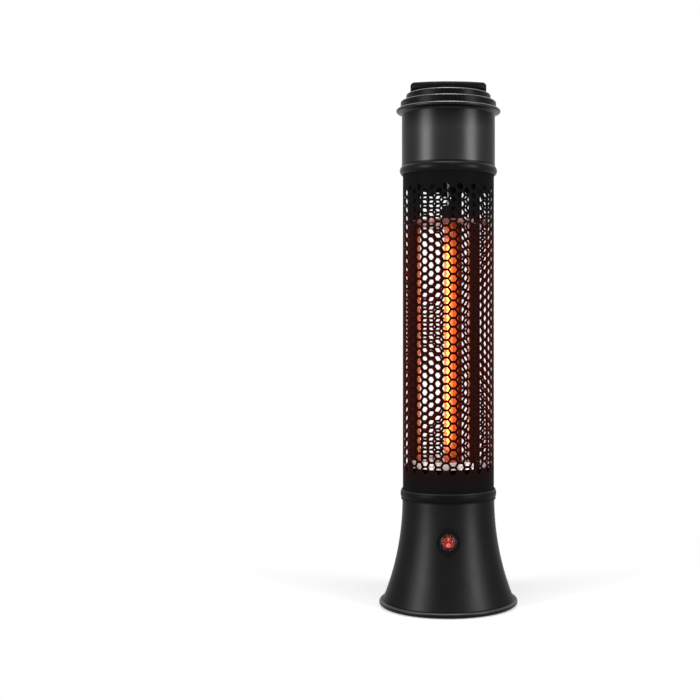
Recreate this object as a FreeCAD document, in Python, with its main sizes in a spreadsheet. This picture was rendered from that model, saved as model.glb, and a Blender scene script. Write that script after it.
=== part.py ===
# Infrared patio heater: a quartz heating tube between two polished pans, inside a
# honeycomb guard on a weighted bell base, with a stepped cap and a carry handle.
# Millimetres, +Z up, origin on the floor under the middle of the base, switch facing -Y.
import FreeCAD
import Part
import Sketcher

import math
import os
import re

Vector = FreeCAD.Vector
UP = Vector(0, 0, 1)

# Driving dimensions, in millimetres and degrees
SIZES = {
    # Base plate, feet and bell
    "plate_radius": 79.5,
    "plate_thickness": 6.2,
    "foot_radius": 8.0,
    "foot_drop": 0.8,
    "foot_sink": 2.0,
    "foot_circle": 64.0,
    "bell_height": 114.4,
    "bell_curve": 306.0,
    "bell_wall": 1.2,
    "neck_radius": 52.8,
    "bell_flange": 13.0,
    "ring_opening": 34.0,
    # Fasteners of the base
    "base_screw_radius": 2.0,
    "base_screw_head": 4.0,
    "base_screw_circle": 66.5,
    "base_nut_flats": 7.0,
    "base_nut_height": 3.2,
    "small_screw_radius": 1.5,
    "small_screw_head": 2.8,
    "small_screw_depth": 5.0,
    # Rocker switch on the front of the bell, along its own tilted axis
    "switch_height": 80.0,
    "switch_hole": 10.1,
    "gasket_radius": 13.9,
    "gasket_height": 1.2,
    "bezel_radius": 11.8,
    "bezel_height": 1.4,
    "barrel_radius": 9.9,
    "barrel_depth": 24.0,
    "boot_radius": 9.4,
    "boot_rise": 2.6,
    "boot_dome": 3.4,
    "boot_wall": 0.6,
    "boot_flange": 0.8,
    "boot_ring_lip": 1.6,
    "rocker_width": 10.8,
    "rocker_swing_radius": 7.2,
    "rocker_outline": 6.7,
    "rocker_facet": 3.5,
    "rocker_dip": 0.2,
    "rocker_throw": 20.0,
    "rocker_pin_radius": 1.2,
    "rocker_pin_reach": 8.8,
    "blade_spread": 4.0,
    "blade_width": 4.8,
    "blade_sheet": 0.8,
    "blade_length": 7.5,
    # Tip-over switch and its plunger
    "tip_x": 30.0,
    "tip_length": 20.0,
    "tip_depth": 12.0,
    "tip_height": 26.0,
    "tip_ear": 6.0,
    "tip_ear_height": 3.0,
    "tip_floor": 1.2,
    "tip_bore": 5.0,
    "tip_roof": 3.0,
    "plunger_radius": 3.0,
    "plunger_collar": 4.6,
    "plunger_collar_height": 2.0,
    "plunger_tip": 0.2,
    "plunger_travel": 6.0,
    "plunger_stem": 2.0,
    "plunger_stem_height": 4.0,
    "tip_spring_turns": 6.0,
    "tip_spring_radius": 3.8,
    "tip_spring_wire": 0.4,
    # Terminal block
    "block_x": -6.0,
    "block_y": 14.0,
    "block_length": 26.0,
    "block_depth": 16.0,
    "block_height": 13.0,
    "block_pitch": 8.0,
    "block_screw_radius": 1.6,
    "block_screw_depth": 6.0,
    "block_row": 4.5,
    # Cord gland at the back of the bell
    "gland_height": 32.0,
    "gland_bore": 3.7,
    "gland_thread": 6.0,
    "gland_flange": 9.0,
    "gland_flange_height": 2.2,
    "gland_neck": 9.0,
    "gland_neck_radius": 5.6,
    "gland_depth": 15.0,
    "gland_nut_flats": 17.0,
    "gland_nut_height": 4.0,
    # Collars and decks that clamp the column
    "collar_flange": 2.0,
    "lower_collar_radius": 55.0,
    "upper_collar_radius": 55.9,
    "collar_step": 1.4,
    "collar_step_radius": 54.3,
    "lower_collar_height": 11.4,
    "upper_collar_height": 11.8,
    "deck_thickness": 1.5,
    "deck_hole": 9.0,
    "grommet_lip": 2.0,
    "grommet_lip_height": 1.5,
    # Honeycomb guard
    "guard_radius": 52.35,
    "guard_wall": 1.2,
    "hole_columns": 40.0,
    "hole_size": 7.05,
    "hole_bridge": 2.7,
    "band_low": 30.5,
    "band_high": 28.0,
    "guard_turn": -3.05,
    # Tie rods and the round posts threaded over them
    "post_circle": 40.2,
    "post_turn": 46.4,
    "post_radius": 6.5,
    "rod_radius": 5.0,
    "rod_bore": 3.4,
    "rod_end": 2.5,
    "rod_nut_flats": 14.0,
    "rod_nut_height": 5.0,
    "lower_sleeve": 43.1,
    "post_length": 266.7,
    "upper_sleeve": 67.0,
    # Reflector pans
    "pan_radius": 44.5,
    "pan_sheet": 0.8,
    "lower_pan_rim": 9.0,
    "upper_pan_rim": 5.2,
    "pan_bend": 1.4,
    "pan_tube_hole": 6.4,
    # Heating tube, its coil and its ceramic ends
    "tube_radius": 5.0,
    "tube_wall": 1.0,
    "tube_socket": 11.0,
    "cap_radius": 6.2,
    "cap_length": 17.0,
    "cap_inset": 4.0,
    "pin_radius": 1.0,
    "contact_radius": 3.4,
    "contact_height": 1.0,
    "coil_turns": 56.0,
    "coil_radius": 1.8,
    "coil_wire": 0.6,
    "core_radius": 1.1,
    "strap_sheet": 1.2,
    "strap_width": 10.0,
    "strap_ear": 10.0,
    "rivet_radius": 1.5,
    "rivet_head": 2.6,
    "rivet_head_height": 1.4,
    # Top housing and the stepped cap
    "housing_radius": 53.5,
    "housing_wall": 1.2,
    "housing_height": 56.8,
    "cap_flange_radius": 59.9,
    "cap_flange_height": 7.0,
    "brim_lip": 2.1,
    "brim_cove": 5.2,
    "cap_plate": 2.5,
    "skirt_wall": 2.0,
    "skirt_depth": 8.6,
    "drum_radius": 54.9,
    "drum_height": 9.0,
    "crown_radius": 48.55,
    "crown_height": 8.2,
    "cap_edge": 2.0,
    "cup_radius": 36.5,
    "cup_wall": 1.0,
    "cup_depth": 22.0,
    "cup_rim": 2.0,
    "cap_screw_radius": 2.0,
    "cap_screw_head": 3.6,
    "cap_screw_head_height": 2.4,
    "cap_screw_circle": 44.5,
    "cap_screw_bite": 5.0,
    # Thermal cut-out on the upper deck
    "cutout_x": 4.5,
    "cutout_y": 22.0,
    "cutout_radius": 8.0,
    "cutout_height": 9.0,
    "cutout_ear": 14.5,
    "cutout_ear_width": 8.0,
    # Carry handle
    "handle_half_length": 43.7,
    "handle_half_depth": 12.0,
    "handle_end": 6.0,
    "handle_thickness": 10.0,
    "handle_round": 4.4,
    "finger_gap": 4.2,
    "pillar_radius": 2.4,
    "handle_screw_radius": 1.2,
    "handle_screw_head": 2.2,
    "handle_screw_bite": 4.0,
    # Sleeved leads
    "lead_radius": 1.3,
    "lead_bend": 9.0,
    "lead_loop": 22.0,
    # Clearances
    "running_gap": 0.05,
    "slip_gap": 0.2,
    "clear_gap": 0.4,
}

# Places worked out from the driving dimensions
PLACES = {
    "plate_top": "foot_drop + plate_thickness",
    "bell_top": "plate_top + bell_height",
    "bell_center": "neck_radius + bell_curve",
    "bell_foot": "bell_center - sqrt(bell_curve ^ 2 - bell_height ^ 2)",
    "flange_inside": "bell_foot - bell_flange",
    "lower_deck_top": "bell_top - bell_wall",
    "lower_deck_bottom": "lower_deck_top - deck_thickness",
    "deck_radius": "neck_radius - bell_wall - slip_gap",
    "column_bottom": "bell_top + collar_flange",
    "lower_pan_face": "column_bottom + lower_sleeve + pan_sheet",
    "upper_pan_face": "lower_pan_face + post_length",
    "column_top": "upper_pan_face + pan_sheet + upper_sleeve",
    "housing_bottom": "column_top + collar_flange",
    "upper_deck_bottom": "housing_bottom + housing_wall",
    "upper_deck_top": "upper_deck_bottom + deck_thickness",
    "housing_top": "housing_bottom + housing_height",
    "flange_top": "housing_top + cap_flange_height",
    "drum_top": "flange_top + drum_height",
    "crown_top": "drum_top + crown_height",
    "handle_bottom": "crown_top + finger_gap",
    "collar_inside": "guard_radius + slip_gap",
    "rod_bottom": "lower_deck_bottom - rod_nut_height - rod_end",
    "rod_top": "upper_deck_top + rod_nut_height + rod_end",
    "rod_hole": "rod_radius + slip_gap",
    "lower_cap_top": "lower_pan_face - pan_sheet - cap_inset",
    "lower_cap_bottom": "lower_cap_top - cap_length",
    "upper_cap_bottom": "upper_pan_face + pan_sheet + cap_inset",
    "upper_cap_top": "upper_cap_bottom + cap_length",
    "tube_bottom": "lower_cap_top - tube_socket",
    "tube_top": "upper_cap_bottom + tube_socket",
    "tube_bore": "tube_radius - tube_wall",
    "strap_half": "cap_radius + slip_gap",
    "rivet_x": "strap_half + strap_sheet + strap_ear / 2",
    "crown_bore": "cup_radius + cup_wall + slip_gap",
    "cup_lip": "crown_bore + cup_rim",
    "pillar_x": "handle_half_length - pillar_radius",
    "bezel_top": "gasket_height + bezel_height",
    "boot_flange_top": "bezel_top + boot_flange",
    "ring_top": "boot_flange_top + boot_ring_lip",
    "rocker_valley": "bezel_top - rocker_dip",
    "rocker_axis": "rocker_valley - rocker_facet",
    "barrel_back": "gasket_height - barrel_depth",
    "blade_end": "barrel_back - blade_length",
    "switch_seat": "bell_center - sqrt(bell_curve ^ 2 - (bell_top - switch_height) ^ 2)",
    "switch_tilt": "asin((bell_top - switch_height) / bell_curve)",
    "gland_seat": "bell_center - sqrt(bell_curve ^ 2 - (bell_top - gland_height) ^ 2)",
    "gland_tilt": "asin((bell_top - gland_height) / bell_curve)",
    "gland_nut_radius": "gland_nut_flats / sqrt(3)",
    "gland_nut_seat": "bell_wall + slip_gap + gland_nut_radius ^ 2 / (2 * (gland_seat - bell_wall))",
    "tip_top": "plate_top + tip_height",
    "tip_cavity_top": "tip_top - tip_roof",
    "collar_low": "plate_top + tip_floor + plunger_travel + clear_gap",
    "collar_high": "collar_low + plunger_collar_height",
    "block_top": "plate_top + block_height",
    "lead_level": "plate_top + block_height / 2",
    "cutout_top": "upper_deck_top + cutout_height",
}

doc = FreeCAD.newDocument("patio_heater")
sheet = doc.addObject("Spreadsheet::Sheet", "Sizes")
for row, (alias, number) in enumerate(SIZES.items(), start=1):
    sheet.set(f"A{row}", alias)
    sheet.set(f"B{row}", str(number))
    sheet.setAlias(f"B{row}", alias)
doc.recompute()

# The nodes of the assembly, by name
parts = {}


def formula(text):
    """Spell out the words of a formula as references to the sheet."""
    def spell(match):
        word = match.group()
        if word in PLACES:
            return "(" + formula(PLACES[word]) + ")"
        if word in SIZES:
            return "Sizes." + word
        return word
    return re.sub(r"[a-z][a-z_]*", spell, str(text))


def value(text):
    """The number that a formula gives with the sheet as it stands."""
    result = sheet.evalExpression(formula(text))
    return float(getattr(result, "Value", result))


def bind(thing, **formulas):
    for name, text in formulas.items():
        thing.setExpression(name, formula(text))


def place(thing, x="0", y="0", z="0"):
    for axis, text in zip("xyz", (x, y, z)):
        thing.setExpression("Placement.Base." + axis, formula(text))
    return thing


def seat_on_bell(thing, seat, height, tilt, side):
    """Stand a piece square on the bell: side 1 is the front, -1 the back."""
    thing.Placement = FreeCAD.Placement(Vector(), FreeCAD.Rotation(Vector(side, 0, 0), 45))
    thing.setExpression("Placement.Rotation.Angle", formula(f"90 deg - {tilt}"))
    return place(thing, y=f"{-side} * {seat}", z=height)


def node(name, thing):
    thing.Label = name
    parts[name] = thing
    return thing


# Sketch-based solids

def attach(sketch, body, role):
    plane = next(item for item in body.Origin.OriginFeatures if item.Role == role)
    sketch.AttachmentSupport = [(plane, "")]
    sketch.MapMode = "FlatFace"


def new_sketch(body, role, level="0"):
    sketch = body.newObject("Sketcher::SketchObject", "section")
    attach(sketch, body, role)
    sketch.setExpression("AttachmentOffset.Base.z", formula(level))
    return sketch


def pin_point(constraints, formulas, edge, end, across, along):
    """Hold a point of the sketch at two formulas measured from the origin."""
    for kind, text, axis in (("DistanceX", across, -2), ("DistanceY", along, -1)):
        if text == "0":
            constraints.append(Sketcher.Constraint("PointOnObject", edge, end, axis))
            continue
        formulas[len(constraints)] = text
        constraints.append(Sketcher.Constraint(kind, -1, 1, edge, end, value(text)))


def arc_between(start, finish, radius, turn):
    """Arc of a circle that turns left (+1) or right (-1) on its way from start to finish."""
    chord = finish - start
    left = Vector(-chord.y, chord.x, 0).normalize()
    reach = math.sqrt(max(radius ** 2 - (chord.Length / 2) ** 2, 0))
    center = (start + finish) * 0.5 + left * (turn * reach)
    first, last = (start, finish) if turn > 0 else (finish, start)
    angles = [math.atan2(p.y - center.y, p.x - center.x) for p in (first, last)]
    return Part.ArcOfCircle(Part.Circle(center, UP, radius), *angles)


def draw_outline(sketch, corners):
    """Closed outline: a corner is (x, y), or (x, y, radius, turn) where an arc leaves it."""
    points = [Vector(value(corner[0]), value(corner[1]), 0) for corner in corners]
    count = len(corners)
    edges = []
    ends = []
    for index, corner in enumerate(corners):
        start = points[index]
        finish = points[(index + 1) % count]
        if len(corner) == 2:
            edges.append(Part.LineSegment(start, finish))
            ends.append((1, 2))
        else:
            turn = corner[3]
            edges.append(arc_between(start, finish, value(corner[2]), turn))
            ends.append((1, 2) if turn > 0 else (2, 1))
    sketch.addGeometry(edges, False)
    constraints = []
    formulas = {}
    for index, corner in enumerate(corners):
        following = (index + 1) % count
        constraints.append(
            Sketcher.Constraint("Coincident", index, ends[index][1], following, ends[following][0]))
        pin_point(constraints, formulas, index, ends[index][0], corner[0], corner[1])
        if len(corner) > 2:
            formulas[len(constraints)] = corner[2]
            constraints.append(Sketcher.Constraint("Radius", index, value(corner[2])))
    sketch.addConstraint(constraints)
    for index, text in formulas.items():
        sketch.setExpression(f"Constraints[{index}]", formula(text))


def lathe(name, corners):
    """Solid of revolution about the upright axis, from an outline of (radius, height)."""
    body = doc.addObject("PartDesign::Body", name)
    sketch = new_sketch(body, "XZ_Plane")
    draw_outline(sketch, corners)
    turned = body.newObject("PartDesign::Revolution", "turned")
    turned.Profile = sketch
    turned.ReferenceAxis = (sketch, ["V_Axis"])
    turned.Angle = 360
    return body


def pad(name, role, corners, length, level="0", symmetric=False):
    """Flat outline pushed out square to its plane."""
    body = doc.addObject("PartDesign::Body", name)
    sketch = new_sketch(body, role, level)
    draw_outline(sketch, corners)
    pushed = body.newObject("PartDesign::Pad", "pushed")
    pushed.Profile = sketch
    pushed.SideType = "Symmetric" if symmetric else "One side"
    bind(pushed, Length=length)
    return body


# Primitives and booleans

def cylinder(radius, height, x="0", y="0", z="0"):
    rod = doc.addObject("Part::Cylinder", "rod")
    bind(rod, Radius=radius, Height=height)
    return place(rod, x, y, z)


def cross_cylinder(radius, length, y="0", z="0"):
    """Round bar along X, centred on the YZ plane."""
    bar = doc.addObject("Part::Cylinder", "bar")
    bind(bar, Radius=radius, Height=length)
    bar.Placement = FreeCAD.Placement(Vector(), FreeCAD.Rotation(Vector(0, 1, 0), 90))
    return place(bar, f"-({length}) / 2", y, z)


def cone(low_radius, high_radius, height, x="0", y="0", z="0"):
    taper = doc.addObject("Part::Cone", "taper")
    bind(taper, Radius1=low_radius, Radius2=high_radius, Height=height)
    return place(taper, x, y, z)


def hexagon(flats, height, x="0", y="0", z="0"):
    prism = doc.addObject("Part::Prism", "hexagon")
    prism.Polygon = 6
    bind(prism, Circumradius=f"({flats}) / sqrt(3)", Height=height)
    return place(prism, x, y, z)


def box(length, width, height, x="0", y="0", z="0"):
    """Block centred on (x, y) that stands on z."""
    block = doc.addObject("Part::Box", "block")
    bind(block, Length=length, Width=width, Height=height)
    return place(block, f"{x} - ({length}) / 2", f"{y} - ({width}) / 2", z)


def group(pieces):
    bundle = doc.addObject("Part::Compound", "bundle")
    bundle.Links = list(pieces)
    return bundle


def cut(base, tools):
    trimmed = doc.addObject("Part::Cut", "trimmed")
    trimmed.Base = base
    trimmed.Tool = tools[0] if len(tools) == 1 else group(tools)
    return trimmed


def fuse(pieces):
    joined = doc.addObject("Part::MultiFuse", "joined")
    joined.Shapes = list(pieces)
    return joined


def ring(outer, inner, height, x="0", y="0", z="0"):
    hole = cylinder(inner, f"{height} + 2", x, y, f"{z} - 1")
    return cut(cylinder(outer, height, x, y, z), [hole])


def screw(shank, head, length, head_height, x, y, z, upward):
    """Round-headed screw: z is where the head meets its seat."""
    if upward:
        return fuse([cylinder(shank, length, x, y, z),
                     cylinder(head, head_height, x, y, f"{z} - {head_height}")])
    return fuse([cylinder(shank, length, x, y, f"{z} - ({length})"),
                 cylinder(head, head_height, x, y, z)])


def around(circle, start, count):
    """Places on a circle, counted from the front (-Y) towards +X."""
    for index in range(count):
        angle = f"({start} + {360 * index / count})"
        yield f"({circle} * sin({angle}))", f"(-{circle} * cos({angle}))"


def shaped(name, shape):
    """Node whose shape is worked out here from the sheet's numbers."""
    feature = doc.addObject("Part::Feature", name)
    feature.Shape = shape
    feature.Placement = FreeCAD.Placement()
    return node(name, feature)


POSTS = list(around("post_circle", "post_turn", 3))


# Base plate, feet and their fasteners

def make_base():
    edge = "plate_thickness / 2"
    blank = lathe("plate_blank", [
        ("0", "foot_drop"),
        (f"plate_radius - {edge}", "foot_drop", edge, 1),
        ("plate_radius", f"foot_drop + {edge}", edge, 1),
        (f"plate_radius - {edge}", "plate_top"),
        ("0", "plate_top")])
    feet = list(around("foot_circle", "45", 4))
    screws = list(around("base_screw_circle", "0", 4))
    head_height = "base_screw_head - base_screw_radius"
    holes = [cylinder("foot_radius", "foot_sink", x, y, "foot_drop") for x, y in feet]
    for x, y in screws:
        holes.append(fuse([
            cylinder("base_screw_radius + running_gap", "plate_thickness", x, y, "foot_drop"),
            cone("base_screw_head + running_gap", "base_screw_radius + running_gap",
                 head_height, x, y, "foot_drop")]))
    holes.append(cylinder("plunger_radius + clear_gap", "plate_thickness", "tip_x", "0", "foot_drop"))
    for x, y in inner_screw_places():
        holes.append(cylinder("small_screw_radius + running_gap", "small_screw_depth", x, y,
                              "plate_top - small_screw_depth"))
    node("base_plate", cut(blank, holes))
    node("rubber_feet", group(
        cylinder("foot_radius - slip_gap", "foot_drop + foot_sink", x, y, "0") for x, y in feet))

    nut_top = "plate_top + bell_wall + base_nut_height"
    bolts = []
    nuts = []
    for x, y in screws:
        shank = fuse([
            cylinder("base_screw_radius", f"{nut_top} - foot_drop", x, y, "foot_drop"),
            cone("base_screw_head", "base_screw_radius", head_height, x, y, "foot_drop")])
        bolts.append(cut(shank, [hexagon("base_screw_radius * 1.25", head_height, x, y, "foot_drop")]))
        nut = hexagon("base_nut_flats", "base_nut_height", x, y, "plate_top + bell_wall")
        bore = cylinder("base_screw_radius + running_gap", "base_nut_height", x, y, "plate_top + bell_wall")
        nuts.append(cut(nut, [bore]))
    node("base_screws", group(bolts))
    node("base_nuts", group(nuts))


def inner_screw_places():
    """Where the tip-over switch and the terminal block are screwed to the plate."""
    ear = "(tip_length + tip_ear) / 2"
    bar = "block_pitch / 2"
    return [(f"(tip_x - {ear})", "0"), (f"(tip_x + {ear})", "0"),
            (f"(block_x - {bar})", "block_y"), (f"(block_x + {bar})", "block_y")]


# Bell of the base: a spun shell with a lip above and a flange below

def bell_solid():
    """Everything inside the outer face of the bell, used to fit pieces to that face."""
    return lathe("bell_outside", [
        ("0", "plate_top"),
        ("bell_foot", "plate_top", "bell_curve", -1),
        ("neck_radius", "bell_top"),
        ("0", "bell_top")])


def through_bell(radius, depth, seat, height, tilt, side):
    """Round tool along a seat's axis, as far into the bell as it stands out of it."""
    tool = lathe("bell_tool", [
        ("0", f"-({depth})"), (radius, f"-({depth})"), (radius, depth), ("0", depth)])
    return seat_on_bell(tool, seat, height, tilt, side)


def make_bell():
    inner_curve = "bell_curve + bell_wall"
    blank = lathe("bell_blank", [
        ("ring_opening", "bell_top"),
        ("ring_opening", "lower_deck_top"),
        (f"bell_center - sqrt(({inner_curve}) ^ 2 - bell_wall ^ 2)", "lower_deck_top", inner_curve, 1),
        (f"bell_center - sqrt(({inner_curve}) ^ 2 - (bell_height - bell_wall) ^ 2)",
         "plate_top + bell_wall"),
        ("flange_inside", "plate_top + bell_wall"),
        ("flange_inside", "plate_top"),
        ("bell_foot", "plate_top", "bell_curve", -1),
        ("neck_radius", "bell_top")])
    holes = [
        through_bell("switch_hole", "barrel_radius",
                     "switch_seat", "switch_height", "switch_tilt", 1),
        through_bell("gland_thread + slip_gap", "gland_flange",
                     "gland_seat", "gland_height", "gland_tilt", -1)]
    for x, y in around("base_screw_circle", "0", 4):
        holes.append(cylinder("base_screw_radius + running_gap", "bell_wall", x, y, "plate_top"))
    for x, y in POSTS:
        holes.append(cylinder("rod_hole", "bell_wall", x, y, "lower_deck_top"))
    node("base_shell", cut(blank, holes))


# Rocker switch, modelled along its own axis and then stood on the front of the bell

def on_switch_seat(name, thing):
    return node(name, seat_on_bell(thing, "switch_seat", "switch_height", "switch_tilt", 1))


def make_switch():
    saddle = lathe("gasket_blank", [
        ("switch_hole", "-gasket_radius / 2"),
        ("gasket_radius", "-gasket_radius / 2"),
        ("gasket_radius", "gasket_height"),
        ("switch_hole", "gasket_height")])
    seat_on_bell(saddle, "switch_seat", "switch_height", "switch_tilt", 1)
    node("switch_gasket", cut(saddle, [bell_solid()]))

    blank = lathe("housing_blank", [
        ("0", "barrel_back"),
        ("barrel_radius", "barrel_back"),
        ("barrel_radius", "gasket_height"),
        ("bezel_radius", "gasket_height"),
        ("bezel_radius", "bezel_top"),
        ("0", "bezel_top")])
    recess_floor = "rocker_axis - rocker_swing_radius - clear_gap"
    recess = box("rocker_width + 2 * clear_gap", "2 * (rocker_swing_radius + clear_gap)",
                 f"bezel_top - ({recess_floor})", "0", "0", recess_floor)
    pivots = cross_cylinder("rocker_pin_radius + running_gap", "2 * (rocker_pin_reach + slip_gap)",
                            "0", "rocker_axis")
    on_switch_seat("switch_housing", cut(blank, [fuse([recess, pivots])]))

    drum = cross_cylinder("rocker_swing_radius", "rocker_width", "0", "rocker_axis")
    size = "(2 * rocker_swing_radius)"
    pressed = box(size, size, size, "0", "rocker_swing_radius", "rocker_valley")
    raised = doc.addObject("Part::Box", "above_raised_half")
    bind(raised, Length=size, Width=size, Height=size)
    raised.Placement = FreeCAD.Placement(Vector(), FreeCAD.Rotation(Vector(-1, 0, 0), 45))
    raised.setExpression("Placement.Rotation.Angle", formula("rocker_throw"))
    place(raised, "-rocker_swing_radius", f"-{size} * cos(rocker_throw)",
          f"rocker_valley + {size} * sin(rocker_throw)")
    pins = cross_cylinder("rocker_pin_radius", "2 * rocker_pin_reach", "0", "rocker_axis")
    paddle = doc.addObject("Part::Common", "paddle")
    paddle.Base = cut(cut(drum, [pressed]), [raised])
    paddle.Tool = cylinder("rocker_outline", size, z="rocker_axis - rocker_swing_radius")
    on_switch_seat("rocker", fuse([paddle, pins]))

    wall_top = "bezel_top + boot_rise"
    dome_curve = "(boot_radius ^ 2 + boot_dome ^ 2) / (2 * boot_dome)"
    inner_radius = "boot_radius - boot_wall"
    inner_curve = f"(({inner_radius}) ^ 2 + boot_dome ^ 2) / (2 * boot_dome)"
    boot = lathe("boot", [
        (inner_radius, "bezel_top"),
        ("bezel_radius", "bezel_top"),
        ("bezel_radius", "boot_flange_top"),
        ("boot_radius", "boot_flange_top"),
        ("boot_radius", wall_top, dome_curve, 1),
        ("0", f"{wall_top} + boot_dome"),
        ("0", f"{wall_top} + boot_dome - boot_wall", inner_curve, -1),
        (inner_radius, f"{wall_top} - boot_wall")])
    on_switch_seat("splash_boot", boot)

    edge = "boot_ring_lip / 2"
    clamp = lathe("clamp_ring", [
        ("bezel_radius + slip_gap", "gasket_height"),
        ("gasket_radius", "gasket_height"),
        ("gasket_radius", f"ring_top - {edge}", edge, 1),
        (f"gasket_radius - {edge}", "ring_top"),
        ("boot_radius + slip_gap", "ring_top"),
        ("boot_radius + slip_gap", "boot_flange_top"),
        ("bezel_radius + slip_gap", "boot_flange_top")])
    on_switch_seat("boot_ring", clamp)

    blades = [box("blade_width", "blade_sheet", "blade_length", side + "blade_spread", "0", "blade_end")
              for side in ("-", "")]
    on_switch_seat("switch_terminals", group(blades))


# Tip-over switch: a sprung plunger through the base plate that the floor holds up

def make_tip_switch():
    case = fuse([
        box("tip_length", "tip_depth", "tip_height", "tip_x", "0", "plate_top"),
        box("tip_length + 2 * tip_ear", "tip_depth", "tip_ear_height", "tip_x", "0", "plate_top")])
    bore = cylinder("tip_bore", "tip_cavity_top - plate_top - tip_floor", "tip_x", "0",
                    "plate_top + tip_floor")
    guide = cylinder("plunger_radius + running_gap", "tip_floor", "tip_x", "0", "plate_top")
    holes = [fuse([bore, guide])]
    for x, y in inner_screw_places()[:2]:
        holes.append(cylinder("small_screw_radius + running_gap", "tip_ear_height", x, y, "plate_top"))
    node("tip_switch_body", cut(case, holes))

    node("tip_plunger", fuse([
        cylinder("plunger_radius", "collar_high - plunger_tip", "tip_x", "0", "plunger_tip"),
        cylinder("plunger_collar", "plunger_collar_height", "tip_x", "0", "collar_low"),
        cylinder("plunger_stem", "plunger_stem_height", "tip_x", "0", "collar_high")]))

    wire = value("tip_spring_wire")
    low = value("collar_high") + 1.25 * wire
    high = value("tip_cavity_top") - 1.25 * wire
    turns = value("tip_spring_turns")
    foot = Vector(value("tip_x"), 0, low)
    shaped("tip_spring", coil_shape(foot, value("tip_spring_radius"), (high - low) / turns, turns, wire))


def make_terminal_block():
    block = box("block_length", "block_depth", "block_height", "block_x", "block_y", "plate_top")
    wells = []
    screws = []
    for column in (-1, 0, 1):
        for side in ("-", "+"):
            x = f"(block_x + {column} * block_pitch)"
            y = f"(block_y {side} block_row)"
            bottom = "block_top - block_screw_depth"
            wells.append(cylinder("block_screw_radius + running_gap", "block_screw_depth", x, y, bottom))
            slot = box("2 * block_screw_radius", "block_screw_radius / 3", "block_screw_radius / 2",
                       x, y, "block_top - block_screw_radius")
            screws.append(cut(cylinder("block_screw_radius", "block_screw_depth - block_screw_radius / 2",
                                       x, y, bottom), [slot]))
    for x, y in inner_screw_places()[2:]:
        wells.append(cylinder("small_screw_radius + running_gap", "block_height", x, y, "plate_top"))
    node("terminal_block", cut(block, wells))
    node("terminal_screws", group(screws))


def make_inner_screws():
    places = inner_screw_places()
    seats = ["plate_top + tip_ear_height"] * 2 + ["block_top"] * 2
    node("inner_screws", group(
        screw("small_screw_radius", "small_screw_head", f"{seat} - plate_top + small_screw_depth",
              "small_screw_radius", x, y, seat, False)
        for (x, y), seat in zip(places, seats)))


# Cord gland: inlet bush and nut at the back of the bell

def make_gland():
    def on_gland_seat(thing):
        return seat_on_bell(thing, "gland_seat", "gland_height", "gland_tilt", -1)

    flange = lathe("gland_flange_blank", [
        ("gland_thread", "-gland_flange / 2"),
        ("gland_flange", "-gland_flange / 2"),
        ("gland_flange", "gland_flange_height"),
        ("gland_thread", "gland_flange_height")])
    barrel = lathe("gland_barrel", [
        ("gland_bore", "-gland_depth"),
        ("gland_thread", "-gland_depth"),
        ("gland_thread", "gland_flange_height"),
        ("gland_neck_radius", "gland_neck"),
        ("gland_bore", "gland_neck")])
    fitted = cut(on_gland_seat(flange), [bell_solid()])
    node("cord_gland", fuse([fitted, on_gland_seat(barrel)]))
    nut = cut(hexagon("gland_nut_flats", "gland_nut_height", z="-gland_nut_seat - gland_nut_height"),
              [cylinder("gland_thread + running_gap", "gland_nut_height",
                        z="-gland_nut_seat - gland_nut_height")])
    node("gland_nut", on_gland_seat(nut))


# Collars and decks that clamp the column between base and top housing

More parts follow.
